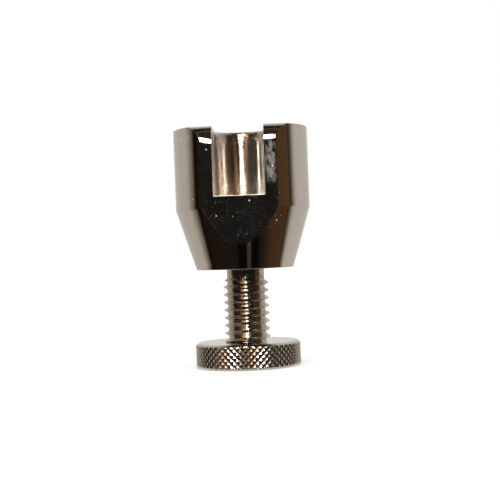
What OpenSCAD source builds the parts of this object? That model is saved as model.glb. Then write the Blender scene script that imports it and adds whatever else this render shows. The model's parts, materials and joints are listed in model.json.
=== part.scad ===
// Slotted stud clamp: a turned body with an open-fronted socket, and a clamp screw that a
// knurled wheel turns from below. +Z up, the open side of the socket faces -Y, and the
// origin is on the screw's axis at the wheel's underside. Millimetres.

/* [Body] */
// Outside diameter of the body
body_d = 27.8; // [27:0.1:32]
// Height of the straight upper part of the body
barrel_h = 16.5; // [15:0.1:24]
// Height of the tapered lower part of the body
taper_h = 12.4; // [11:0.1:18]
// Diameter of the body's underside
foot_d = 20.3; // [17:0.1:22]
// Distance from the axis to the milled front flat
flat_y = 11.65; // [10.5:0.05:12.5]
// Radius of the roll-over at the top of the front flat
roll_r = 3.3; // [3.2:0.1:4]
// Height of the roll-over
roll_h = 3.1; // [2:0.1:3.1]
// Break on the body's turned edges
edge_break = 0.2; // [0.1:0.05:0.4]

/* [Socket] */
// Width of the socket, and diameter of its half-round back
socket_w = 10.4; // [10.2:0.1:12]
// Depth of the socket below the top face
socket_depth = 14.1; // [10:0.1:15]

/* [Screw] */
// Major diameter of the screw thread
thread_d = 9.525; // [9:0.025:9.6]
// Pitch of the thread
pitch = 1.5875; // [1.5:0.0125:1.6]
// Depth of the thread on the screw
thread_depth = 0.8625; // [0.8:0.0125:0.875]
// Radial clearance of the body's thread over the screw's
thread_gap = 0.1; // [0.08:0.01:0.12]
// Length of the plain neck that shows under the body
neck_h = 1.9; // [1.5:0.1:3]
// Free length of screw between the wheel and the body
exposed_h = 15.1; // [14:0.1:16]
// Diameter of the nose that carries the pressure pad
nose_d = 4; // [3.6:0.1:4.2]

/* [Wheel] */
// Outside diameter of the knurled wheel
wheel_d = 21.8; // [18:0.1:26]
// Height of the wheel
wheel_h = 5.1; // [4:0.1:7]
// Chamfer on the wheel's rim
wheel_chamfer = 0.5; // [0.2:0.1:0.8]
// Diameter of the screw's plain end, pressed into the wheel
spigot_d = 7; // [6:0.1:7.4]
// Diameter of the locking pin, half in the wheel and half in the screw
pin_d = 1.6; // [1:0.1:2]
// Length of the locking pin
pin_len = 3.5; // [2:0.1:3.8]

/* [Pad] */
// Diameter of the pressure pad
pad_d = 7.4; // [6.8:0.1:7.4]
// Height of the pressure pad
pad_h = 3.5; // [3.2:0.1:4]
// Gap left under the body and over the pad at the end of the travel
end_gap = 0.3; // [0.2:0.05:0.5]
// Wire thickness of the pad's snap ring
ring_wire = 0.5; // [0.4:0.05:0.6]

/* [Hidden] */
$fn = 96;
eps = 0.01;
cut = 1;

// Heights of the body's faces above the wheel's underside
foot_z = wheel_h + exposed_h;
shoulder_z = foot_z + taper_h;
top_z = shoulder_z + barrel_h;
socket_z = top_z - socket_depth;
roll_angle = asin(roll_h / roll_r);
roll_steps = 14;

// The screw rises until the wheel is end_gap under the body, and the pad's face then lies
// end_gap under the body's top face
travel = exposed_h - end_gap;
pad_top_z = top_z - end_gap - travel;
pad_z = pad_top_z - pad_h;

// Screw: the thread's core, its relieved neck and the nose
core_r = thread_d / 2 - thread_depth;
neck_z = foot_z - neck_h;
neck_rise = 0.5;
neck_top_z = foot_z + neck_rise;
pad_gap = 0.3;
shank_top_z = pad_z - pad_gap;
nose_r = nose_d / 2;
nose_fit = 0.05;
pad_face = 0.9;
nose_len = pad_h - pad_face;
nose_z = pad_z + nose_len;
lead_in = 0.5;

// 60 degree thread form with a flat crest of an eighth of the pitch
flank = tan(30);
crest_w = pitch / 8;
turn_steps = 36;
// Height of a crest above the wheel's underside, on the +X side
crest_z0 = 6.1;
embed = 0.1;
flank_gap = 0.06;

// Snap ring, half in a groove of the nose and half in a groove of the pad
ring_rise = 1.1;
ring_z = pad_z + ring_rise;
ring_depth = 0.3;
ring_stand = 0.35;
ring_inner_r = nose_r - ring_depth;
ring_outer_r = nose_r + ring_stand;
ring_gap_angle = 50;
groove_play = 0.1;

module ring(z, h, inner, outer) {
    translate([0, 0, z]) difference() {
        cylinder(h = h, r = outer);
        translate([0, 0, -cut]) cylinder(h = h + 2 * cut, r = inner);
    }
}

// One turning of the thread's ridge: a trapezium swept along the helix. first and last are
// its ends in steps of the turn, counted from the +X side at crest_z0, inner and outer are
// radii and crest is the width of its flat top.
module thread_ridge(first, last, inner, outer, crest) {
    base = crest + 2 * (outer - inner) * flank;
    steps = last - first;
    section = [[inner, -base / 2], [outer, -crest / 2], [outer, crest / 2], [inner, base / 2]];
    points = [
        for (i = [0 : steps]) let (turn = (first + i) / turn_steps)
            for (s = section)
                [s[0] * cos(360 * turn), s[0] * sin(360 * turn), crest_z0 + pitch * turn + s[1]]
    ];
    sides = [
        for (i = [0 : steps - 1]) for (k = [0 : 3])
            let (a = 4 * i + k, b = 4 * i + (k + 1) % 4)
                each [[a, b, a + 4], [b, b + 4, a + 4]]
    ];
    caps = [[0, 3, 2], [0, 2, 1],
            [4 * steps, 4 * steps + 1, 4 * steps + 2], [4 * steps, 4 * steps + 2, 4 * steps + 3]];
    polyhedron(points = points, faces = concat(sides, caps));
}

// First or last whole step of a ridge that has to cover the height z
function step_at(z) = round((z - crest_z0) / pitch * turn_steps);

// Thread between two heights, with a 45 degree lead at each end that is asked for
module threaded(z_low, z_high, lead_low, lead_high) {
    outer = thread_d / 2;
    intersection() {
        thread_ridge(step_at(z_low - pitch), step_at(z_high + pitch), core_r - embed, outer, crest_w);
        rotate_extrude() polygon([
            [0, z_low], [outer + eps - lead_low, z_low], [outer + eps, z_low + lead_low],
            [outer + eps, z_high - lead_high], [outer + eps - lead_high, z_high], [0, z_high]
        ]);
    }
}

// Everything in front of the flat and above its roll-over
module front_cutter() {
    outline = [
        [-body_d, -cut],
        [-flat_y, -cut],
        for (i = [0 : roll_steps]) let (a = roll_angle * i / roll_steps)
            [-flat_y + roll_r - roll_r * cos(a), top_z - foot_z - roll_h + roll_r * sin(a)],
        [-flat_y + roll_r * (1 - cos(roll_angle)), top_z - foot_z + cut],
        [-body_d, top_z - foot_z + cut]
    ];
    translate([-body_d, 0, foot_z]) rotate([90, 0, 90]) linear_extrude(2 * body_d) polygon(outline);
}

module socket_cutter() {
    depth = socket_depth + cut;
    translate([0, 0, socket_z]) {
        cylinder(h = depth, d = socket_w);
        translate([-socket_w / 2, -body_d, 0]) cube([socket_w, body_d, depth]);
    }
}

module clamp_body() {
    r = body_d / 2;
    foot_r = foot_d / 2;
    bore_r = core_r + thread_gap;
    mouth_lip = 0.3;
    mouth = thread_d / 2 + thread_gap + mouth_lip;
    color([0.72, 0.67, 0.61]) difference() {
        rotate_extrude() polygon([
            [0, foot_z], [foot_r - edge_break, foot_z], [foot_r, foot_z + edge_break],
            [r, shoulder_z], [r, top_z - edge_break], [r - edge_break, top_z], [0, top_z]
        ]);
        front_cutter();
        socket_cutter();
        translate([0, 0, foot_z - cut]) cylinder(h = socket_z - foot_z + 2 * cut, r = bore_r);
        translate([0, 0, foot_z - eps]) cylinder(h = mouth - bore_r, r1 = mouth, r2 = bore_r);
        thread_ridge(step_at(foot_z - pitch), step_at(socket_z + pitch), core_r,
            thread_d / 2 + thread_gap, crest_w + 2 * flank_gap);
    }
}

module pin_hole() {
    translate([spigot_d / 2, 0, -cut]) cylinder(h = pin_len + cut, d = pin_d);
}

module clamp_screw() {
    color([0.72, 0.68, 0.63]) difference() {
        union() {
            cylinder(h = wheel_h + eps, d = spigot_d);
            translate([0, 0, wheel_h]) cylinder(h = shank_top_z - wheel_h, r = core_r);
            threaded(wheel_h, neck_z, 0, lead_in);
            threaded(neck_top_z, shank_top_z, lead_in, lead_in);
            translate([0, 0, shank_top_z - eps]) cylinder(h = nose_z - shank_top_z + eps, r = nose_r);
        }
        ring(ring_z, ring_wire, ring_inner_r, nose_d);
        pin_hole();
    }
}

module thumb_wheel() {
    r = wheel_d / 2;
    color([0.70, 0.66, 0.60]) difference() {
        rotate_extrude() polygon([
            [spigot_d / 2, 0], [r - wheel_chamfer, 0], [r, wheel_chamfer],
            [r, wheel_h - wheel_chamfer], [r - wheel_chamfer, wheel_h], [spigot_d / 2, wheel_h]
        ]);
        pin_hole();
    }
}

module wheel_pin() {
    color([0.55, 0.55, 0.56]) translate([spigot_d / 2, 0, 0]) cylinder(h = pin_len, d = pin_d);
}

module pressure_pad() {
    r = pad_d / 2;
    face_break = 0.4;
    color([0.80, 0.62, 0.28]) difference() {
        rotate_extrude() polygon([
            [0, pad_z], [r, pad_z], [r, pad_top_z - face_break], [r - face_break, pad_top_z],
            [0, pad_top_z]
        ]);
        translate([0, 0, pad_z - cut]) cylinder(h = nose_len + nose_fit + cut, r = nose_r + nose_fit);
        translate([0, 0, ring_z - groove_play])
            cylinder(h = ring_wire + 2 * groove_play, r = ring_outer_r + groove_play);
    }
}

module pad_ring() {
    gap = 2 * ring_outer_r * sin(ring_gap_angle / 2);
    color([0.45, 0.45, 0.47]) difference() {
        ring(ring_z, ring_wire, ring_inner_r, ring_outer_r);
        translate([0, -gap / 2, ring_z - cut]) cube([nose_d, gap, ring_wire + 2 * cut]);
    }
}

clamp_body();
clamp_screw();
thumb_wheel();
wheel_pin();
pressure_pad();
pad_ring();
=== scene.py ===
"""Looks of the slotted stud clamp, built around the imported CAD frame.

Every piece is swept by formulas from the frame's own boxes and the sizes named below. Metres, +Z up,
and the socket opens towards -Y. The order is: camera and room, finishes, mesh building, pieces.
"""

import json
import math

import bmesh
import bpy
import numpy as np
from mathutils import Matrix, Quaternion, Vector


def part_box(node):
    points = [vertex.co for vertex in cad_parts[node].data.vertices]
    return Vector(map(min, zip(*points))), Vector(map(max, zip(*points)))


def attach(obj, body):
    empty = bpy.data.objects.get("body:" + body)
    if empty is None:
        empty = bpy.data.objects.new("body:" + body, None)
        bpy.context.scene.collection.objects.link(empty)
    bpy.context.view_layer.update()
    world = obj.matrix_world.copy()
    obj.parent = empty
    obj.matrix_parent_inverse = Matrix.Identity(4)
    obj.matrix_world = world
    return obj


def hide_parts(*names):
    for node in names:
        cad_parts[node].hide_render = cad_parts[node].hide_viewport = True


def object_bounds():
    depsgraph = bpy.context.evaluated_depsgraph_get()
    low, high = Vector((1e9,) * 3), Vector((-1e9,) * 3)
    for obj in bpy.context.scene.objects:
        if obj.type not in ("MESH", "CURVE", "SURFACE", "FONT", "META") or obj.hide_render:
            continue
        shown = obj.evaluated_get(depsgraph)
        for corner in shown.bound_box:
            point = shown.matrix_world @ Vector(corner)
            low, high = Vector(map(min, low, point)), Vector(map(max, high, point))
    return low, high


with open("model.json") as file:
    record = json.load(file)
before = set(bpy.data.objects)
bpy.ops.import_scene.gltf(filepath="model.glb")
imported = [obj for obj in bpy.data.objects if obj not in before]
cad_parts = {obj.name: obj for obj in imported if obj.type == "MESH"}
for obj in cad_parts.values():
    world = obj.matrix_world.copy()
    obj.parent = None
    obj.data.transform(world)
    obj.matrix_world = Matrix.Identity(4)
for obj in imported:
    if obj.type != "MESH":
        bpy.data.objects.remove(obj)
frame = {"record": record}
cad_low, cad_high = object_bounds()
MM = 0.001

# Camera: where it stands around the screw's axis, how high, and where it aims
CAMERA_AZIMUTH = math.radians(2.985)
CAMERA_REACH = 0.24002
CAMERA_HEIGHT = 0.02462
CAMERA_ROLL = math.radians(2.22)
CAMERA_LENS = 83.0
AIM = Vector((0.00114, 0, 0.0240))

# The frame's boxes and the socket's mount
body_low, body_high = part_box("clamp_body")
wheel_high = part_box("thumb_wheel")[1]
screw_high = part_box("clamp_screw")[1]
pad_low, pad_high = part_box("pressure_pad")
pin_low, pin_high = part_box("wheel_pin")
ring_low, ring_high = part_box("pad_ring")
socket = frame["record"]["mounts"][0]

# Body: the frame gives its outside, and the rest is what the CAD was drawn with
BODY_R = body_high.x
FOOT_Z = body_low.z
TOP_Z = body_high.z
FLAT_Y = -body_low.y
SOCKET_R = socket["dims"]["r_mm"] * MM
SOCKET_Z = TOP_Z - socket["dims"]["length_mm"] * MM
TAPER_H = 12.4 * MM
FOOT_R = 10.15 * MM
SHOULDER_Z = FOOT_Z + TAPER_H
ROLL_R = 3.3 * MM
ROLL_H = 3.1 * MM

# Thread: pitch, radii, the height of a crest on the +X side, and the clearance in the body
PITCH = 1.5875 * MM
THREAD_R = 4.7625 * MM
THREAD_DEPTH = 0.8625 * MM
CORE_R = THREAD_R - THREAD_DEPTH
CREST_Z0 = 6.1 * MM
THREAD_GAP = 0.1 * MM
ROOT_ROUND = 0.10 * MM
# How far the tapped hole is countersunk past its thread, at the underside and at the socket's floor
MOUTH_LIP = 0.3 * MM
TOP_LIP = 0.08 * MM
# Screw: its neck below and above the body's underside, the steepness of its leads, and its plain ends
NECK_H = 1.9 * MM
NECK_RISE = 0.5 * MM
LEAD_SLOPE = 1.6
SPIGOT_R = 3.5 * MM
NOSE_R = 2.0 * MM
PAD_GAP = 0.3 * MM

# Wheel
WHEEL_R = wheel_high.x
WHEEL_H = wheel_high.z
WHEEL_CHAMFER = 0.5 * MM

# Roundings left by polishing
EDGE_ROUND = 0.2 * MM
FLAT_ROUND = 0.22 * MM
SLOT_ROUND = 0.04 * MM
SLOT_BACK_ROUND = 0.6 * MM
SHOULDER_ROUND = 0.12 * MM
# Break on the small turned parts, and the depth of the wheel's recessed underside, where the screw ends too
BREAK = 0.15 * MM
RECESS = 0.12 * MM

# How far polishing pulled the roll-over down beside the socket, left and right, and how quickly it fades
SAG_LEFT = 0.70 * MM
SAG_RIGHT = 0.22 * MM
SAG_REACH = 3.4 * MM

# Knurl: number of grooves each way round the rim, their depth, the flat left on the points, how far the
# grooves' sides are rounded and the mesh cells from groove to groove
KNURL_COUNT = 54
KNURL_DEPTH = 0.16 * MM
KNURL_TIP = 0.08
KNURL_SOFT = 0.4
KNURL_CELLS = 12

# Mesh: distance at which points are welded, width of the strips that keep the flats flat beside a rounding,
# and the angles past which an edge stays sharp
WELD = 1e-6
HOLD = 0.03 * MM
SHARP_ANGLE = math.radians(32)
KNURL_SHARP_ANGLE = math.radians(18)

# Gap between the floor and the wheel, half the floor's width, and the overhead light's strength, spread
# and tilt
FLOOR_GAP = 0.02 * MM
FLOOR_HALF = 6.0
SUN_STRENGTH = 3.1
SUN_SPREAD = math.radians(70)
SUN_TILT = math.radians(12)


# ---------------------------------------------------------------- camera and room

def add_camera():
    """The camera at the photograph's angle, leaning a little."""
    data = bpy.data.cameras.new("camera")
    data.lens = CAMERA_LENS
    data.clip_start = 0.01
    data.clip_end = 20
    camera = bpy.data.objects.new("camera", data)
    bpy.context.scene.collection.objects.link(camera)
    camera.location = (
        CAMERA_REACH * math.sin(CAMERA_AZIMUTH), -CAMERA_REACH * math.cos(CAMERA_AZIMUTH), CAMERA_HEIGHT)
    look = (AIM - camera.location).to_track_quat("-Z", "Y")
    camera.rotation_mode = "QUATERNION"
    camera.rotation_quaternion = look @ Quaternion((0, 0, 1), -CAMERA_ROLL)
    bpy.context.scene.camera = camera


def make(tree, kind, inputs=(), **attributes):
    """A shader node with its attributes set, then its inputs, each a value or another node's output."""
    made = tree.nodes.new("ShaderNode" + kind)
    for name, value in attributes.items():
        setattr(made, name, value)
    for key, value in dict(inputs).items():
        if isinstance(value, bpy.types.NodeSocket):
            tree.links.new(value, made.inputs[key])
        else:
            made.inputs[key].default_value = value
    return made


def calc(tree, operation, a, b=0.0):
    """One step of arithmetic between two values or outputs."""
    return make(tree, "Math", {0: a, 1: b}, operation=operation).outputs[0]


def rise(tree, value, low, high):
    """0 below low, 1 above high and smooth between; low above high turns it round."""
    if low > high:
        return make(tree, "MapRange", {0: value, 1: high, 2: low, 3: 1.0, 4: 0.0},
                    interpolation_type="SMOOTHSTEP").outputs[0]
    return make(tree, "MapRange", {0: value, 1: low, 2: high}, interpolation_type="SMOOTHSTEP").outputs[0]


def blend_colour(tree, factor, a, b):
    """Colour a where factor is 0, b where it is 1."""
    return make(tree, "Mix", {0: factor, 6: a, 7: b}, data_type="RGBA").outputs[2]


def grey(level, warm=0.0):
    """A light colour, warmer as warm grows."""
    return (level * (1 + warm), level, level * (1 - warm), 1)


def stops(tree, value, table):
    """A colour ramp over 0..1 through (place, colour) pairs."""
    ramp = make(tree, "ValToRGB", {0: value})
    elements = ramp.color_ramp.elements
    while len(elements) < len(table):
        elements.new(0.5)
    for element, (place, colour) in zip(elements, table):
        element.position = place
        element.color = colour
    return ramp.outputs[0]


# The room by direction: level and colour of the light from each. Degrees round from the camera, positive
# to its right
AROUND = [
    (-180, grey(0.68, 0.02)), (-166, grey(0.66, 0.03)), (-152, grey(0.53, 0.06)), (-128, grey(0.49, 0.06)),
    (-110, grey(0.47, 0.07)), (-104, grey(0.41, 0.08)), (-98, grey(0.26, 0.12)), (-92, grey(0.14, 0.22)),
    (-88.5, grey(0.045, 0.4)), (-86, grey(0.004)), (-78, (0.016, 0.009, 0.006, 1)),
    (-40, (0.014, 0.010, 0.008, 1)), (-6, grey(0.011)), (30, grey(0.010)), (56, (0.014, 0.009, 0.006, 1)),
    (65, (0.078, 0.044, 0.020, 1)), (86, (0.095, 0.052, 0.024, 1)), (88.5, (0.035, 0.02, 0.011, 1)),
    (92, grey(0.07, 0.25)), (96, grey(0.19, 0.14)), (100, grey(0.39, 0.09)), (104, grey(0.48, 0.07)),
    (112, grey(0.52, 0.06)), (150, grey(0.53, 0.06)), (166, grey(0.66, 0.03)), (180, grey(0.68, 0.02)),
]
# Degrees up from the front horizon, over the top and down to the back horizon
OVERHEAD = [
    (0, grey(0.02)), (36, grey(0.03)), (62, grey(0.025)), (69, (0.085, 0.050, 0.028, 1)),
    (80, (0.08, 0.045, 0.025, 1)), (84, grey(0.012)), (99, grey(0.012)), (107, grey(0.16, 0.05)),
    (116, grey(0.42, 0.04)), (130, grey(0.60, 0.03)), (146, grey(0.80, 0.02)), (180, grey(0.66, 0.02)),
]
# Soft patches, the later over the earlier: azimuth from and to, elevation from and to, softness sideways
# (degrees) and colour. A shaded floor in front, its two streaks, a rusty glow, a glow low on the left, a
# warm lamp and the main lamp
PATCHES = [
    (-16, 32, -62, -22, 8.0, (0.004, 0.003, 0.002, 1)),
    (6, 15, -48, -24, 5.0, (0.055, 0.043, 0.034, 1)),
    (-26, -18, -48, -24, 6.0, (0.012, 0.010, 0.009, 1)),
    (52, 88, -62, -22, 40.0, (0.062, 0.033, 0.016, 1)),
    (-62, -12, -20, -8, 8.0, (0.12, 0.075, 0.042, 1)),
    (-34, -12, 12, 34, 5.0, (2.5, 1.40, 0.58, 1)),
    (-10, 4, 11, 33, 2.0, (17, 16.5, 15.5, 1)),
]
PATCH_FADE = math.radians(3)
# How far sideways a direction points where the overhead part starts to give way to its sides, and where it
# has given way
CEILING_SIDE = (0.35, 0.6)
# Elevations between which the levels around give way to the overhead part, and to the ground
CEILING_EDGE = (math.radians(34), math.radians(42))
GROUND_EDGE = (math.radians(-52), math.radians(-62))
SIDE_COLOUR = grey(0.52, 0.06)
GROUND_COLOUR = grey(0.50, 0.03)


def window(tree, value, low, high, soft):
    """1 between low and high, with flanks as wide as soft."""
    up = rise(tree, value, low - soft / 2, low + soft / 2)
    down = rise(tree, value, high + soft / 2, high - soft / 2)
    return calc(tree, "MULTIPLY", up, down)


def add_room():
    """A photographer's tent by direction: dark towards the camera, pale at the sides and the back."""
    world = bpy.data.worlds.new("room")
    bpy.context.scene.world = world
    world.use_nodes = True
    tree = world.node_tree
    tree.nodes.clear()
    direction = make(tree, "TexCoord").outputs["Generated"]
    turned = make(tree, "VectorRotate", {"Vector": direction, "Angle": -CAMERA_AZIMUTH},
                  rotation_type="Z_AXIS").outputs[0]
    parts = make(tree, "SeparateXYZ", {0: turned}).outputs
    side, front, up = parts[0], calc(tree, "MULTIPLY", parts[1], -1.0), parts[2]
    azimuth = calc(tree, "ARCTAN2", side, front)
    elevation = calc(tree, "ARCSINE", up)
    meridian = calc(tree, "ARCTAN2", up, front)

    around = calc(tree, "ADD", calc(tree, "DIVIDE", azimuth, 2 * math.pi), 0.5)
    level = stops(tree, around, [((a + 180) / 360, c) for a, c in AROUND])
    over = stops(tree, calc(tree, "DIVIDE", meridian, math.pi), [(m / 180, c) for m, c in OVERHEAD])
    lateral = calc(tree, "ABSOLUTE", side)
    ceiling = blend_colour(tree, rise(tree, lateral, *CEILING_SIDE), over, SIDE_COLOUR)
    colour = blend_colour(tree, rise(tree, elevation, *CEILING_EDGE), level, ceiling)
    colour = blend_colour(tree, rise(tree, elevation, *GROUND_EDGE), colour, GROUND_COLOUR)
    for az_low, az_high, el_low, el_high, soft, patch in PATCHES:
        across = window(tree, azimuth, math.radians(az_low), math.radians(az_high), math.radians(soft))
        upward = window(tree, elevation, math.radians(el_low), math.radians(el_high), PATCH_FADE)
        colour = blend_colour(tree, calc(tree, "MULTIPLY", across, upward), colour, patch)
    seen = make(tree, "LightPath").outputs["Is Camera Ray"]
    reflected = make(tree, "Background", {"Color": colour}).outputs[0]
    backdrop = make(tree, "Background", {"Color": grey(1.0)}).outputs[0]
    mixed = make(tree, "MixShader", {0: seen, 1: reflected, 2: backdrop}).outputs[0]
    make(tree, "OutputWorld", {"Surface": mixed})


def add_floor():
    """A plain white floor under a broad overhead light, neither of which shows in the metal."""
    mesh = bpy.data.meshes.new("floor")
    corners = [(x * FLOOR_HALF, y * FLOOR_HALF, 0) for x, y in ((-1, -1), (1, -1), (1, 1), (-1, 1))]
    mesh.from_pydata(corners, [], [(0, 1, 2, 3)])
    floor = bpy.data.objects.new("floor", mesh)
    bpy.context.scene.collection.objects.link(floor)
    floor.location.z = cad_low.z - FLOOR_GAP
    floor.visible_glossy = False
    paint = bpy.data.materials.new("floor_paint")
    paint.use_nodes = True
    shader = paint.node_tree.nodes["Principled BSDF"]
    shader.inputs["Base Color"].default_value = grey(0.93)
    shader.inputs["Roughness"].default_value = 1.0
    shader.inputs["Specular IOR Level"].default_value = 0.0
    mesh.materials.append(paint)

    sun = bpy.data.lights.new("overhead", "SUN")
    sun.energy = SUN_STRENGTH
    sun.angle = SUN_SPREAD
    lamp = bpy.data.objects.new("overhead", sun)
    bpy.context.scene.collection.objects.link(lamp)
    lamp.rotation_euler = (SUN_TILT, 0, 0)
    lamp.visible_glossy = False


# ---------------------------------------------------------------- finishes

# The plate where it is clean, wiped, filmed over, smeared and dusty
PLATE = (0.735, 0.68, 0.61, 1)
WIPED_PLATE = (0.66, 0.64, 0.62, 1)
FILM = (0.50, 0.56, 0.66, 1)
SMEAR = (0.100, 0.130, 0.175, 1)
DUST = (0.85, 0.85, 0.86, 1)
# The plate on the socket's wall, its blotches and its flecks
TOOLED_PLATE = (0.84, 0.80, 0.76, 1)
BLOTCH = (0.62, 0.55, 0.48, 1)
FLECK = (0.9, 0.9, 0.88, 1)
# The plate on the thread, and the darker plate in patches in its roots
THREAD_PLATE = (0.74, 0.68, 0.61, 1)
DARK_ROOT_PLATE = (0.33, 0.25, 0.18, 1)
# The plate on the wheel, the painted shade in the knurl's grooves, and the plate where it is worn
WHEEL_PLATE = (0.84, 0.80, 0.75, 1)
GROOVE_SHADE_PLATE = (0.19, 0.14, 0.11, 1)
WORN_PLATE = (0.33, 0.28, 0.24, 1)
# Bare metals, each bright and tarnished
TURNED_STEEL = ((0.60, 0.58, 0.55, 1), (0.34, 0.31, 0.28, 1))
TURNED_BRASS = ((0.80, 0.60, 0.27, 1), (0.55, 0.38, 0.15, 1))
GROUND_STEEL = ((0.56, 0.56, 0.57, 1), (0.36, 0.34, 0.32, 1))
SPRING_STEEL = ((0.44, 0.44, 0.46, 1), (0.24, 0.21, 0.18, 1))

# Places on the surface, in millimetres. The smear's x from and to, and how far it keeps from the socket's
# floor and from the top
SMEAR_X = (5.7, 7.2)
SMEAR_OVER_FLOOR = 3.0
SMEAR_UNDER_TOP = 3.8
# How quickly marks on the flat fade behind it
FLAT_FADE = 0.3
# Rough lower part and chattered upper part of the socket's wall, and the x where its left side is rubbed
ROUGH_REACH = 8.0
CHATTER_TOP = 1.0
CHATTER_REACH = 3.5
RUBBED_X = (-3.7, -4.4)
# How high over the thread's core the darkening starts and is full
ROOT_DARK_REACH = 0.22
ROOT_DARK_FULL = 0.02
# Plain band left along the wheel's edges, and how far in the knurl's wear reaches
PLAIN_BAND = 0.45
WEAR_REACH = (0.40, 0.30)


def new_finish(name):
    """A material with its Principled shader, and the surface's own coordinates in millimetres."""
    finish = bpy.data.materials.new(name)
    finish.use_nodes = True
    tree = finish.node_tree
    shader = tree.nodes["Principled BSDF"]
    place = make(tree, "VectorMath", {0: make(tree, "TexCoord").outputs["Object"], "Scale": 1 / MM},
                 operation="SCALE").outputs[0]
    return finish, tree, shader, place


def product(tree, *factors):
    """The factors multiplied together, the first of them a node's output."""
    total = factors[0]
    for factor in factors[1:]:
        total = calc(tree, "MULTIPLY", total, factor)
    return total


def plus(tree, base, *shares):
    """base with every (mask, amount) share added to it."""
    for mask, amount in shares:
        base = calc(tree, "ADD", base, product(tree, mask, amount))
    return base


def stretched(tree, place, factors):
    """The coordinates scaled along each axis; a small factor draws a pattern out along that axis."""
    return make(tree, "VectorMath", {0: place, 1: factors}, operation="MULTIPLY").outputs[0]


def axis_distance(tree, place):
    """Distance from the screw's axis in millimetres."""
    flattened = stretched(tree, place, (1, 1, 0))
    return make(tree, "VectorMath", {0: flattened}, operation="LENGTH").outputs["Value"]


def noise(tree, place, scale, detail=3.0, rough=0.55):
    """Cloudy noise about 0.5; scale a millimetre."""
    return make(tree, "TexNoise", {"Vector": place, "Scale": scale, "Detail": detail,
                                   "Roughness": rough}).outputs[0]


def specks(tree, place, scale, size, share):
    """Scattered round specks: scale a millimetre, their size in cells, and the share of cells with one."""
    cells = make(tree, "TexVoronoi", {"Vector": place, "Scale": scale})
    near = rise(tree, cells.outputs["Distance"], size, size * 0.5)
    pick = make(tree, "SeparateXYZ", {0: cells.outputs["Color"]}).outputs[0]
    return product(tree, near, calc(tree, "LESS_THAN", pick, share))


def tool_rings(tree, place, outward, upward):
    """Tool marks round the axis, as a height; outward and upward say how fine they are each way."""
    height = make(tree, "SeparateXYZ", {0: place}).outputs[2]
    across = make(tree, "CombineXYZ", {0: product(tree, axis_distance(tree, place), outward),
                                       1: product(tree, height, upward)}).outputs[0]
    return noise(tree, across, scale=1.0, detail=2.0)


def scratch_height(tree, place):
    """Fine polishing lines in three directions, as a height."""
    upright = noise(tree, stretched(tree, place, (0.12, 0.12, 9)), scale=1.0, detail=2.0)
    sideways = noise(tree, stretched(tree, place, (7, 0.3, 0.2)), scale=1.1, detail=2.0)
    even = noise(tree, stretched(tree, place, (3, 3, 4.5)), scale=1.6, detail=2.0)
    return calc(tree, "ADD", calc(tree, "ADD", upright, sideways), even)


def bumped(tree, height, strength, depth):
    """The normal over a height pattern; depth is in metres."""
    return make(tree, "Bump", {"Height": height, "Strength": strength, "Distance": depth}).outputs[0]


def connect(tree, shader, **sockets):
    """Sets the shader's sockets, each to a value or to another node's output."""
    for name, value in sockets.items():
        socket_name = name.replace("_", " ")
        if isinstance(value, bpy.types.NodeSocket):
            tree.links.new(value, shader.inputs[socket_name])
        else:
            shader.inputs[socket_name].default_value = value


def on_flat(tree, place, reach):
    """1 on the milled flat, and 0 from reach millimetres behind it."""
    depth = make(tree, "SeparateXYZ", {0: place}).outputs[1]
    return rise(tree, depth, reach - FLAT_Y / MM, reach - FLAT_FADE - FLAT_Y / MM)


def smear_mask(tree, place):
    """A greasy smear on the right-hand side of the milled flat."""
    parts = make(tree, "SeparateXYZ", {0: place}).outputs
    across = window(tree, parts[0], *SMEAR_X, soft=1.2)
    high = window(tree, parts[2], SOCKET_Z / MM + SMEAR_OVER_FLOOR, TOP_Z / MM - SMEAR_UNDER_TOP, soft=2.5)
    clouds = noise(tree, stretched(tree, place, (1.6, 1, 0.7)), scale=1.1, detail=5.0)
    return product(tree, across, high, on_flat(tree, place, reach=0.6), rise(tree, clouds, 0.34, 0.74))


def plated_mirror():
    """Bright nickel plate with polishing lines, faint wiping marks, a smear and dust."""
    finish, tree, shader, place = new_finish("nickel_mirror")
    smeared = smear_mask(tree, place)
    coarse_dust = specks(tree, place, scale=0.6, size=0.10, share=0.4)
    fine_dust = specks(tree, place, scale=1.9, size=0.11, share=0.25)
    dusty = rise(tree, noise(tree, place, scale=0.16), 0.40, 0.60)
    dust = product(tree, calc(tree, "MAXIMUM", coarse_dust, fine_dust), dusty)
    mottle = rise(tree, noise(tree, place, scale=3.4, detail=5.0, rough=0.7), 0.52, 0.78)
    filmed = rise(tree, noise(tree, place, scale=0.22), 0.36, 0.60)
    film = product(tree, mottle, filmed, on_flat(tree, place, reach=0.4))
    streaks = noise(tree, stretched(tree, place, (0.5, 0.5, 0.16)), scale=0.55, detail=5.0)
    wiped = rise(tree, streaks, 0.50, 0.72)

    tint = blend_colour(tree, product(tree, wiped, 0.35), PLATE, WIPED_PLATE)
    tint = blend_colour(tree, film, tint, FILM)
    tint = blend_colour(tree, smeared, tint, SMEAR)
    tint = blend_colour(tree, dust, tint, DUST)
    rough = plus(tree, 0.022, (wiped, 0.03), (smeared, 0.12), (dust, 0.5))
    matt = calc(tree, "MAXIMUM", dust, product(tree, film, 0.12))
    matt = calc(tree, "MAXIMUM", matt, product(tree, smeared, 0.85))
    metal = plus(tree, 1.0, (matt, -0.95))
    normal = bumped(tree, scratch_height(tree, place), strength=0.035, depth=0.04 * MM)
    connect(tree, shader, Base_Color=tint, Roughness=rough, Metallic=metal, Normal=normal)
    return finish


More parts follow.
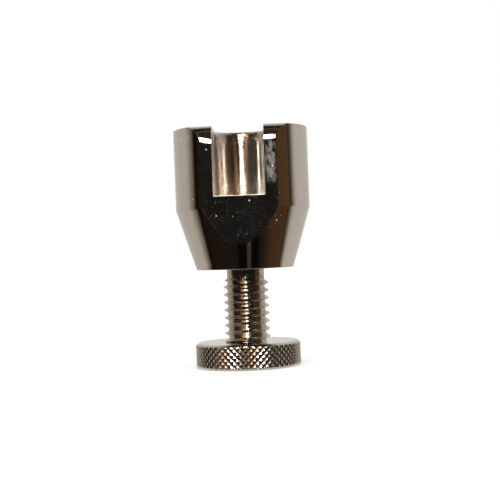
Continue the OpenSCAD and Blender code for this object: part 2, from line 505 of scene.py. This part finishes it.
def plated_bore():
    """The socket's milled wall: bright plate over tool marks that run round it, with a rough flecked lower
    part, chatter at the top and a rubbed left side."""
    finish, tree, shader, place = new_finish("nickel_tooled")
    parts = make(tree, "SeparateXYZ", {0: place}).outputs
    low = rise(tree, parts[2], SOCKET_Z / MM + ROUGH_REACH, SOCKET_Z / MM)
    high = rise(tree, parts[2], TOP_Z / MM - CHATTER_REACH, TOP_Z / MM - CHATTER_TOP)
    clouds = noise(tree, stretched(tree, place, (1.6, 1.6, 0.45)), scale=0.9, detail=5.0)
    blotch = rise(tree, clouds, 0.42, 0.66)
    flecks = product(tree, specks(tree, place, scale=3.0, size=0.30, share=0.35), low)
    streaks = noise(tree, stretched(tree, place, (3, 1, 0.2)), scale=2.0)
    rubbed = product(tree, rise(tree, parts[0], *RUBBED_X), rise(tree, streaks, 0.2, 0.6))
    grain = noise(tree, place, scale=4.0, detail=4.0)
    marks = noise(tree, stretched(tree, place, (0.25, 0.25, 9)), scale=1.0, detail=4.0)
    chatter = noise(tree, stretched(tree, place, (1, 1, 1.6)), scale=1.5)
    ridges = noise(tree, stretched(tree, place, (0.9, 0.9, 4.5)), scale=1.0, detail=2.0)
    ribs = rise(tree, ridges, 0.48, 0.60)

    tint = blend_colour(tree, blotch, TOOLED_PLATE, BLOTCH)
    tint = blend_colour(tree, product(tree, flecks, 0.6), tint, FLECK)
    rough = plus(tree, 0.105, (blotch, 0.06), (product(tree, low, grain), 0.16), (rubbed, 0.14))
    metal = plus(tree, 1.0, (rubbed, -0.15))
    height = plus(tree, marks, (product(tree, grain, low), 0.6), (product(tree, chatter, high), 5.0),
                  (product(tree, ribs, low), 0.9))
    normal = bumped(tree, height, strength=0.5, depth=0.03 * MM)
    tangent = make(tree, "Tangent", direction_type="RADIAL", axis="Z").outputs[0]
    connect(tree, shader, Base_Color=tint, Roughness=rough, Metallic=metal, Normal=normal,
            Anisotropic=1.0, Anisotropic_Rotation=0.25, Tangent=tangent)
    return finish


def plated_thread():
    """Bright plate over a cut thread: rolled lines along the helix, and darker in patches towards the
    roots.
    """
    finish, tree, shader, place = new_finish("nickel_thread")
    # The plate is darker and rougher in patches towards the thread's roots.
    root = rise(tree, axis_distance(tree, place), CORE_R / MM + ROOT_DARK_REACH, CORE_R / MM + ROOT_DARK_FULL)
    dark_root_patches = product(tree, root, rise(tree, noise(tree, place, scale=1.4, detail=4.0), 0.35, 0.65))
    tint = blend_colour(tree, product(tree, dark_root_patches, 0.6), THREAD_PLATE, DARK_ROOT_PLATE)
    rough = plus(tree, 0.07, (noise(tree, place, scale=2.2, detail=4.0), 0.08), (dark_root_patches, 0.2))
    lines = noise(tree, stretched(tree, place, (0.5, 0.5, 14)), scale=1.0)
    normal = bumped(tree, lines, strength=0.25, depth=0.02 * MM)
    connect(tree, shader, Base_Color=tint, Roughness=rough, Metallic=1.0, Normal=normal)
    return finish


def plated_wheel():
    """Bright plate on the wheel: turned rings on its faces, worn knurl points, and dull knurl grooves
    darkened with painted shade.
    """
    finish, tree, shader, place = new_finish("nickel_wheel")
    height = make(tree, "SeparateXYZ", {0: place}).outputs[2]
    radius = axis_distance(tree, place)
    band = window(tree, height, PLAIN_BAND, WHEEL_H / MM - PLAIN_BAND, soft=0.1)
    outer = rise(tree, radius, WHEEL_R / MM - WEAR_REACH[0], WHEEL_R / MM - WEAR_REACH[1])
    cut_rim = product(tree, band, outer)
    # The knurl's grooves: painted shade darkens their plate the deeper they go, and they are also rougher.
    deep = rise(tree, radius, (WHEEL_R - KNURL_DEPTH * 0.35) / MM, (WHEEL_R - KNURL_DEPTH) / MM)
    groove = product(tree, deep, cut_rim)
    patches = rise(tree, noise(tree, place, scale=1.9, detail=5.0, rough=0.7), 0.36, 0.66)
    worn = product(tree, patches, cut_rim)

    tint = blend_colour(tree, product(tree, groove, 0.9), WHEEL_PLATE, GROOVE_SHADE_PLATE)
    tint = blend_colour(tree, product(tree, worn, 0.5), tint, WORN_PLATE)
    haze = noise(tree, place, scale=1.5, detail=4.0)
    rough = plus(tree, 0.05, (haze, 0.07), (cut_rim, 0.13), (groove, 0.15))
    rings = tool_rings(tree, place, outward=16.0, upward=0.0)
    bumps = plus(tree, rings, (noise(tree, place, scale=7.0), 0.5))
    normal = bumped(tree, bumps, strength=0.12, depth=0.02 * MM)
    connect(tree, shader, Base_Color=tint, Roughness=rough, Metallic=1.0, Normal=normal)
    return finish


def turned_metal(name, bright, dark, roughness):
    """Turned metal with tool rings round the screw's axis and tarnish in patches."""
    finish, tree, shader, place = new_finish(name)
    stain = rise(tree, noise(tree, place, scale=1.1, detail=5.0), 0.42, 0.70)
    tint = blend_colour(tree, stain, bright, dark)
    rough = plus(tree, roughness, (stain, 0.15))
    rings = tool_rings(tree, place, outward=18.0, upward=18.0)
    normal = bumped(tree, rings, strength=0.3, depth=0.02 * MM)
    connect(tree, shader, Base_Color=tint, Roughness=rough, Metallic=1.0, Normal=normal)
    return finish


# ---------------------------------------------------------------- mesh building

class Shell:
    """The points and faces of one piece, gathered patch by patch and then welded."""

    def __init__(self):
        self.points = []
        self.faces = []
        self.finishes = []

    def grid(self, rows, finish=0, valleys=False):
        """A patch from rows of points, all of one length. With valleys, every quad is split along the
        diagonal nearer to the axis, so that creases stay clean."""
        rows = np.asarray(rows, float)
        count, width = rows.shape[:2]
        start = len(self.points)
        self.points += [tuple(p) for p in rows.reshape(-1, 3)]
        for i in range(count - 1):
            for j in range(width - 1):
                a = start + i * width + j
                b, c, d = a + 1, a + 1 + width, a + width
                if not valleys:
                    made = [(a, b, c, d)]
                elif self.reach(a) + self.reach(c) <= self.reach(b) + self.reach(d):
                    made = [(a, b, c), (a, c, d)]
                else:
                    made = [(a, b, d), (b, c, d)]
                self.faces += made
                self.finishes += [finish] * len(made)

    def reach(self, index):
        """Distance of a point from the axis."""
        return math.hypot(self.points[index][0], self.points[index][1])

    def lathe(self, outline, columns, finish=0):
        """A patch turned about the axis from (radius, height) points."""
        angles = np.linspace(0, 2 * math.pi, columns + 1)
        self.grid([[(r * math.cos(a), r * math.sin(a), z) for a in angles] for r, z in outline], finish)

    def helix(self, low, high, section, limit, columns, finish=0):
        """A threaded surface between two heights, cut from one that is a turn longer at each end. section
        gives a radius for each share of the pitch, and limit bounds the radius at a height."""
        turns = int((high - low) / PITCH) + 3
        start = math.floor((low - CREST_Z0) / PITCH) - 1
        steps = len(section)
        work = bmesh.new()
        rows = []
        for k in range(turns * steps + 1):
            row = []
            for j in range(columns + 1):
                z = CREST_Z0 + PITCH * (start + k / steps + j / columns)
                r = limit(z, section[k % steps])
                a = 2 * math.pi * j / columns
                row.append(work.verts.new((r * math.cos(a), r * math.sin(a), z)))
            rows.append(row)
        for k in range(turns * steps):
            for j in range(columns):
                work.faces.new((rows[k][j], rows[k][j + 1], rows[k + 1][j + 1], rows[k + 1][j]))
        bmesh.ops.remove_doubles(work, verts=work.verts, dist=WELD)
        for height, outward in ((high, 1), (low, -1)):
            bmesh.ops.bisect_plane(work, geom=work.verts[:] + work.edges[:] + work.faces[:], dist=WELD / 10,
                                   plane_co=(0, 0, height), plane_no=(0, 0, outward), clear_outer=True)
        work.verts.index_update()
        first = len(self.points)
        self.points += [tuple(v.co) for v in work.verts]
        self.faces += [tuple(first + v.index for v in f.verts) for f in work.faces]
        self.finishes += [finish] * len(work.faces)
        work.free()

    def build(self, name, body, finishes, caps=(), sharp=SHARP_ANGLE):
        """The welded piece riding on its body. caps are (height, finish) of flat faces to close."""
        mesh = bpy.data.meshes.new(name)
        mesh.from_pydata(self.points, [], self.faces)
        mesh.polygons.foreach_set("material_index", self.finishes)
        work = bmesh.new()
        work.from_mesh(mesh)
        bmesh.ops.remove_doubles(work, verts=work.verts, dist=WELD)
        bmesh.ops.dissolve_degenerate(work, edges=work.edges, dist=WELD / 4)
        for height, finish in caps:
            rim = [e for e in work.edges
                   if e.is_boundary and all(abs(v.co.z - height) < WELD for v in e.verts)]
            made = bmesh.ops.triangle_fill(work, use_beauty=True, edges=rim)
            for face in made["geom"]:
                if isinstance(face, bmesh.types.BMFace):
                    face.material_index = finish
        bmesh.ops.recalc_face_normals(work, faces=work.faces)
        work.to_mesh(mesh)
        work.free()
        mesh.shade_smooth()
        mesh.set_sharp_from_angle(angle=sharp)
        for finish in finishes:
            mesh.materials.append(finish)
        piece = bpy.data.objects.new(name, mesh)
        bpy.context.scene.collection.objects.link(piece)
        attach(piece, body)
        return piece


def arc(centre, radius, start, end, count):
    """Points of a circle's arc in a plane, angles in degrees."""
    angles = np.radians(np.linspace(start, end, count))
    return [(centre[0] + radius * math.cos(a), centre[1] + radius * math.sin(a)) for a in angles]


def between(low, high, count):
    """Evenly spaced values from low to high."""
    return list(np.linspace(low, high, count))


def held(low, high, count):
    """Like between, with a narrow strip at both ends."""
    hold = min(HOLD, (high - low) / 4)
    return np.array([low] + between(low + hold, high - hold, count) + [high])


# ---------------------------------------------------------------- the body

CONE_Z0 = FOOT_Z + EDGE_ROUND
CONE_SLOPE = (BODY_R - FOOT_R) / (SHOULDER_Z - CONE_Z0)
FLAT_TIP_Z = CONE_Z0 + (FLAT_Y - FOOT_R) / CONE_SLOPE
SLOT_LEVEL = SOCKET_Z - SLOT_ROUND
# Angles of the mesh lines on the rounding of the socket's front edges, and columns across the socket
LIP_TURNS = np.linspace(0, math.pi / 2, 6)
SILL_COLUMNS = 25
# Places of the body's three finishes and of the screw's two
OUTSIDE, WALL, THREAD = range(3)
SHANK, PLAIN = range(2)


def body_radius(z):
    """Outer radius of the turned body at a height, with its roundings."""
    if z < CONE_Z0:
        return FOOT_R - EDGE_ROUND + math.sqrt(max(EDGE_ROUND**2 - (CONE_Z0 - z) ** 2, 0))
    if z > TOP_Z - EDGE_ROUND:
        return BODY_R - EDGE_ROUND + math.sqrt(max(EDGE_ROUND**2 - (z - TOP_Z + EDGE_ROUND) ** 2, 0))
    if abs(z - SHOULDER_Z) < SHOULDER_ROUND:
        share = (z - SHOULDER_Z + SHOULDER_ROUND) / (2 * SHOULDER_ROUND)
        return BODY_R - CONE_SLOPE * SHOULDER_ROUND * (1 - share) ** 2
    return min(BODY_R, FOOT_R + CONE_SLOPE * (z - CONE_Z0))


def front_depth(z):
    """Distance of the milled front from the axis at a height."""
    climb = z - (TOP_Z - ROLL_H)
    if climb <= 0:
        return FLAT_Y
    return FLAT_Y - ROLL_R + math.sqrt(ROLL_R**2 - climb**2)


def sagging_depth(x, z):
    """The front's distance from the axis beside the socket, where its roll-over starts lower."""
    sag = (SAG_LEFT if x < 0 else SAG_RIGHT) * min(max(1 - (abs(x) - SOCKET_R) / SAG_REACH, 0), 1)
    share = min(max((z - TOP_Z + ROLL_H) / ROLL_H, 0), 1)
    return front_depth(z + sag * (1 - share * share * (3 - 2 * share)))


def socket_half(z, rounding):
    """Half width of the socket at a height, with a rounding of its top edge."""
    climb = z - (TOP_Z - rounding)
    if climb <= 0:
        return SOCKET_R
    return SOCKET_R + rounding - math.sqrt(max(rounding**2 - climb**2, 0))


def corner_centre(z):
    """Centre of the rounding between the flat and the turned side, in x and distance from the axis."""
    reach = body_radius(z) - FLAT_ROUND
    depth = front_depth(z) - FLAT_ROUND
    if reach <= depth:
        return 0.0, reach
    return math.sqrt(reach**2 - depth**2), depth


def side_row(z, split):
    """One level of the outside, from the flat right of the socket round the back to the flat left of it."""
    half, depth = corner_centre(z)
    turn = math.degrees(math.atan2(half, depth))
    edge = arc((half, -depth), FLAT_ROUND, -90, -90 + turn, count=7)[:-1]
    back = arc((0, 0), math.hypot(half, depth) + FLAT_ROUND, -90 + turn, 90, count=111)
    sides = []
    for side in (1, -1):
        flat = [(x, -min(sagging_depth(side * x, z), depth + FLAT_ROUND))
                for x in held(split, half, count=8)]
        sides.append([(side * x, y, z) for x, y in flat[:-1] + edge + back])
    return sides[0] + sides[1][-2::-1]


def flat_split(z):
    """Where the flat's columns part, in line with the socket's edge at the socket's floor."""
    widest = corner_centre(SLOT_LEVEL)[0]
    return (SOCKET_R + SLOT_ROUND) * corner_centre(z)[0] / widest


def body_levels():
    """Heights of the mesh rows below and above the socket's floor."""
    shoulder_half = corner_centre(SHOULDER_Z - SHOULDER_ROUND)[0]
    lower = [CONE_Z0 - EDGE_ROUND * math.cos(math.radians(a)) for a in between(0, 90, count=7)]
    lower += between(CONE_Z0, FLAT_TIP_Z, count=8)[1:]
    for half in between(0, shoulder_half, count=40)[1:]:
        radius = FLAT_ROUND + math.hypot(half, FLAT_Y - FLAT_ROUND)
        lower.append(CONE_Z0 + (radius - FOOT_R) / CONE_SLOPE)
    lower += between(SHOULDER_Z - SHOULDER_ROUND, SHOULDER_Z + SHOULDER_ROUND, count=6)[1:]
    lower += list(held(SHOULDER_Z + SHOULDER_ROUND, SLOT_LEVEL, count=4)[1:])
    bend = TOP_Z - ROLL_H
    upper = list(held(SOCKET_Z, bend - SAG_LEFT, count=6)[1:])
    upper += between(bend - SAG_LEFT, bend, count=10)[1:]
    last_turn = math.asin((ROLL_H - EDGE_ROUND) / ROLL_R)
    upper += [bend + ROLL_R * math.sin(a) for a in between(0, last_turn, count=16)[1:]]
    upper += [TOP_Z - EDGE_ROUND * (1 - math.sin(a)) for a in between(0, math.pi / 2, count=8)[1:]]
    return lower, upper


def socket_row(z):
    """The socket's wall at one level: right side, half-round back, left side. Its top edge is worn
    rounder towards the back."""
    sides = []
    for side in (1, -1):
        mouth = sagging_depth(side * (socket_half(z, SLOT_ROUND) + SLOT_ROUND), z) - SLOT_ROUND
        straight = [
            (socket_half(z, SLOT_ROUND + (SLOT_BACK_ROUND - SLOT_ROUND) * share), -mouth * (1 - share))
            for share in held(0, mouth, count=8) / mouth
        ]
        round_back = arc((0, 0), socket_half(z, SLOT_BACK_ROUND), 0, 90, count=33)
        sides.append([(side * x, y, z) for x, y in straight[:-1] + round_back])
    return sides[0] + sides[1][-2::-1]


def lip_row(z, side, floor):
    """The rounding between the flat and the socket's side wall, mitred where it meets the floor's."""
    half = socket_half(z, SLOT_ROUND)
    front = sagging_depth(side * (half + SLOT_ROUND), z)
    row = []
    for a in LIP_TURNS:
        inward, back = SLOT_ROUND * (1 - math.sin(a)), SLOT_ROUND * (1 - math.cos(a))
        row.append((side * (half + inward), -front + back, SOCKET_Z - inward if floor else z))
    return row


def sill_row(turn):
    """The rounding between the flat and the socket's floor, from left to right at one angle."""
    inward, back = SLOT_ROUND * (1 - math.sin(turn)), SLOT_ROUND * (1 - math.cos(turn))
    reach = SOCKET_R + inward
    return [(x, -FLAT_Y + back, SOCKET_Z - inward) for x in between(-reach, reach, SILL_COLUMNS)]


def thread_section(core, crest, steps):
    """Radius over one pitch of a 60 degree thread with a flat crest, from the crest's middle."""
    slope = 1 / math.tan(math.radians(30))
    flat_crest = PITCH / 8
    section = []
    for k in range(steps):
        along = abs((k / steps + 0.5) % 1 - 0.5) * PITCH
        flank = crest - max(along - flat_crest / 2, 0) * slope
        rounded = np.logaddexp(0, 2 * (flank - core) / ROOT_ROUND) * ROOT_ROUND / 2
        section.append(core + min(rounded, crest - core))
    return section


def bore_limit(z, radius):
    """The body's thread radius at a height, opened by the countersinks at both ends."""
    mouth = THREAD_R + THREAD_GAP + MOUTH_LIP - (z - FOOT_Z)
    top = THREAD_R + THREAD_GAP + TOP_LIP - (SOCKET_Z - z)
    return max(radius, mouth, top)


def add_body(mirror, tooled, threaded):
    """The body: turned side, milled flat, socket with rounded front edges, and tapped hole."""
    shell = Shell()
    lower, upper = body_levels()
    shell.grid([side_row(z, flat_split(z)) for z in lower]
               + [side_row(z, socket_half(z, SLOT_ROUND) + SLOT_ROUND) for z in upper])
    under_socket = [z for z in lower if z > FLAT_TIP_Z - WELD]
    shell.grid([[(x, -FLAT_Y, z) for x in between(-flat_split(z), flat_split(z), SILL_COLUMNS)]
                for z in under_socket])
    shell.grid([socket_row(z) for z in [SOCKET_Z] + upper], finish=WALL)
    for side in (1, -1):
        shell.grid([lip_row(SLOT_LEVEL, side, True)] + [lip_row(z, side, False) for z in upper])
    shell.grid([sill_row(a) for a in LIP_TURNS])
    section = thread_section(CORE_R + THREAD_GAP, THREAD_R + THREAD_GAP, steps=20)
    shell.helix(FOOT_Z, SOCKET_Z, section, bore_limit, columns=96, finish=THREAD)
    piece = shell.build("body_shell", "body", [mirror, tooled, threaded],
                        [(FOOT_Z, OUTSIDE), (SOCKET_Z, WALL), (TOP_Z, OUTSIDE)])
    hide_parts("clamp_body")


# ---------------------------------------------------------------- the screw

NECK_Z = FOOT_Z - NECK_H
NECK_TOP = FOOT_Z + NECK_RISE
SHANK_TOP = pad_low.z - PAD_GAP


def screw_limit(z, radius):
    """The screw's radius at a height: relieved at the neck, with a lead at each end."""
    if NECK_Z <= z <= NECK_TOP:
        return CORE_R
    away = NECK_Z - z if z < NECK_Z else min(z - NECK_TOP, SHANK_TOP - z)
    return max(min(radius, CORE_R + max(away, 0) * LEAD_SLOPE), CORE_R)


def add_screw(threaded, steel):
    """The screw: threaded shank, plain spigot with a centre drilling, and grooved nose."""
    shell = Shell()
    section = thread_section(CORE_R, THREAD_R, steps=24)
    shell.helix(WHEEL_H, SHANK_TOP, section, screw_limit, columns=128, finish=SHANK)
    drill_mouth, drill_r = 1.2 * MM, 0.9 * MM
    drill_lip, drill_top = RECESS + 0.25 * MM, RECESS + 0.7 * MM
    shell.lathe([(SPIGOT_R, WHEEL_H), (SPIGOT_R, RECESS + BREAK), (SPIGOT_R - BREAK, RECESS),
                 (drill_mouth, RECESS), (drill_r, drill_lip), (0, drill_top)], columns=64, finish=PLAIN)
    groove_r = NOSE_R - 0.3 * MM
    nose_top = screw_high.z
    shell.lathe([(NOSE_R, SHANK_TOP), (NOSE_R, ring_low.z), (groove_r, ring_low.z),
                 (groove_r, ring_high.z), (NOSE_R, ring_high.z), (NOSE_R, nose_top - BREAK),
                 (NOSE_R - BREAK, nose_top), (0, nose_top)], columns=48, finish=PLAIN)
    piece = shell.build("screw_shaft", "screw", [threaded, steel],
                        [(WHEEL_H, SHANK), (SHANK_TOP, SHANK)])
    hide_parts("clamp_screw")


# ---------------------------------------------------------------- the wheel

# Mesh columns round the rim, and as many rows as make its cells square
WHEEL_COLUMNS = KNURL_COUNT * KNURL_CELLS
WHEEL_ROWS = round(WHEEL_H / (2 * math.pi * WHEEL_R / WHEEL_COLUMNS))


def knurl_radius(angle, z):
    """Rim radius under two sets of grooves that cross at 45 degrees."""
    turn = angle * KNURL_COUNT / (2 * math.pi)
    climb = z / WHEEL_H * WHEEL_ROWS / KNURL_CELLS
    grooves = [abs(2 * ((turn + sign * climb) % 1) - 1) for sign in (1, -1)]
    deep = max(max(grooves) - KNURL_TIP, 0) / (1 - KNURL_TIP)
    rounded = 0.5 - 0.5 * math.cos(math.pi * deep)
    return WHEEL_R - KNURL_DEPTH * (deep + (rounded - deep) * KNURL_SOFT)


def rim_radius(angle, z):
    """The knurled rim between its two chamfers."""
    edge = min(z, WHEEL_H - z)
    return min(knurl_radius(angle, z), WHEEL_R - WHEEL_CHAMFER + edge)


def add_wheel(finish):
    """The wheel: knurled rim, flat top with a broken bore edge, and an underside recessed inside a rim."""
    shell = Shell()
    angles = np.linspace(0, 2 * math.pi, WHEEL_COLUMNS + 1)
    heights = between(0, WHEEL_H, WHEEL_ROWS + 1)
    shell.grid([[(rim_radius(a, z) * math.cos(a), rim_radius(a, z) * math.sin(a), z) for a in angles]
                for z in heights], valleys=True)
    bore = SPIGOT_R + 0.02 * MM
    rim = WHEEL_R - WHEEL_CHAMFER
    strip, middle, foot_r = rim - 0.4 * MM, rim * 0.7, rim - 1.6 * MM
    shell.lathe([(rim, WHEEL_H), (strip, WHEEL_H), (middle, WHEEL_H), (bore + BREAK, WHEEL_H),
                 (bore, WHEEL_H - BREAK), (bore, RECESS), (foot_r - RECESS, RECESS),
                 (foot_r, 0), (strip, 0), (rim, 0)], WHEEL_COLUMNS)
    piece = shell.build("knurled_wheel", "screw", [finish], sharp=KNURL_SHARP_ANGLE)
    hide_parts("thumb_wheel")


# ---------------------------------------------------------------- pad, pin and ring

def add_pad(brass):
    """The pad: a face with a rounded edge and three turned lines, and a grooved pocket for the nose."""
    shell = Shell()
    r, low, top = pad_high.x, pad_low.z, pad_high.z
    columns = 96
    fit, play = 0.05 * MM, 0.1 * MM
    inner, groove = NOSE_R + fit, ring_high.y + play
    crown = 0.4 * MM
    outline = [(inner, low), (r - BREAK, low), (r, low + BREAK)]
    outline += arc((r - crown, top - crown), crown, 0, 90, count=9)
    line_half, line_depth = 0.12 * MM, 0.08 * MM
    for line_r in (0.72 * r, 0.5 * r, 0.28 * r):
        outline += [(line_r + line_half, top), (line_r, top - line_depth), (line_r - line_half, top)]
    outline += [(0, top)]
    shell.lathe(outline, columns)
    ceiling = screw_high.z + fit
    shell.lathe([(inner, low), (inner, ring_low.z - play), (groove, ring_low.z - play),
                 (groove, ring_high.z + play), (inner, ring_high.z + play), (inner, ceiling),
                 (0, ceiling)], columns)
    piece = shell.build("pad_shell", "pad", [brass])
    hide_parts("pressure_pad")


def add_pin(steel):
    """The locking pin: a straight pin with chamfered ends and a dimple in the lower one."""
    shell = Shell()
    r = (pin_high.y - pin_low.y) / 2
    chamfer, dimple_r, dimple_depth = 0.2 * MM, 0.45 * r, 0.15 * MM
    bottom, top = 0.03 * MM, pin_high.z
    shell.lathe([(0, bottom + dimple_depth), (dimple_r, bottom), (r - chamfer, bottom),
                 (r, bottom + chamfer), (r, top - chamfer), (r - chamfer, top), (0, top)], columns=40)
    axis = (pin_low.x + pin_high.x) / 2
    shell.points = [(x + axis, y, z) for x, y, z in shell.points]
    piece = shell.build("pin_shell", "screw", [steel])
    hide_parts("wheel_pin")


def add_ring(steel):
    """The pad's snap ring: a round wire with a gap, closed flat at both ends."""
    shell = Shell()
    wire = (ring_high.z - ring_low.z) / 2
    mean_r = ring_high.y - wire
    middle = (ring_low.z + ring_high.z) / 2
    half_gap = math.radians(27)
    rows = [wire_section(a, mean_r, middle, wire)
            for a in between(half_gap, 2 * math.pi - half_gap, count=73)]
    ends = [[tuple(np.mean(row[:-1], axis=0))] * len(row) for row in (rows[0], rows[-1])]
    shell.grid(ends[:1] + rows + ends[1:])
    piece = shell.build("ring_wire", "screw", [steel])
    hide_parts("pad_ring")


def wire_section(angle, mean_r, middle, wire):
    """The wire's round section at an angle about the screw's axis."""
    row = []
    for b in between(0, 2 * math.pi, count=17):
        r = mean_r + wire * math.cos(b)
        row.append((r * math.cos(angle), r * math.sin(angle), middle + wire * math.sin(b)))
    return row


add_camera()
bpy.context.scene.view_settings.view_transform = "Standard"
add_room()
add_floor()
nickel_mirror = plated_mirror()
nickel_tooled = plated_bore()
nickel_thread = plated_thread()
add_body(nickel_mirror, nickel_tooled, nickel_thread)
add_screw(nickel_thread, turned_metal("turned_steel", *TURNED_STEEL, roughness=0.22))
add_wheel(plated_wheel())
add_pad(turned_metal("turned_brass", *TURNED_BRASS, roughness=0.20))
add_pin(turned_metal("ground_steel", *GROUND_STEEL, roughness=0.25))
add_ring(turned_metal("spring_wire", *SPRING_STEEL, roughness=0.30))
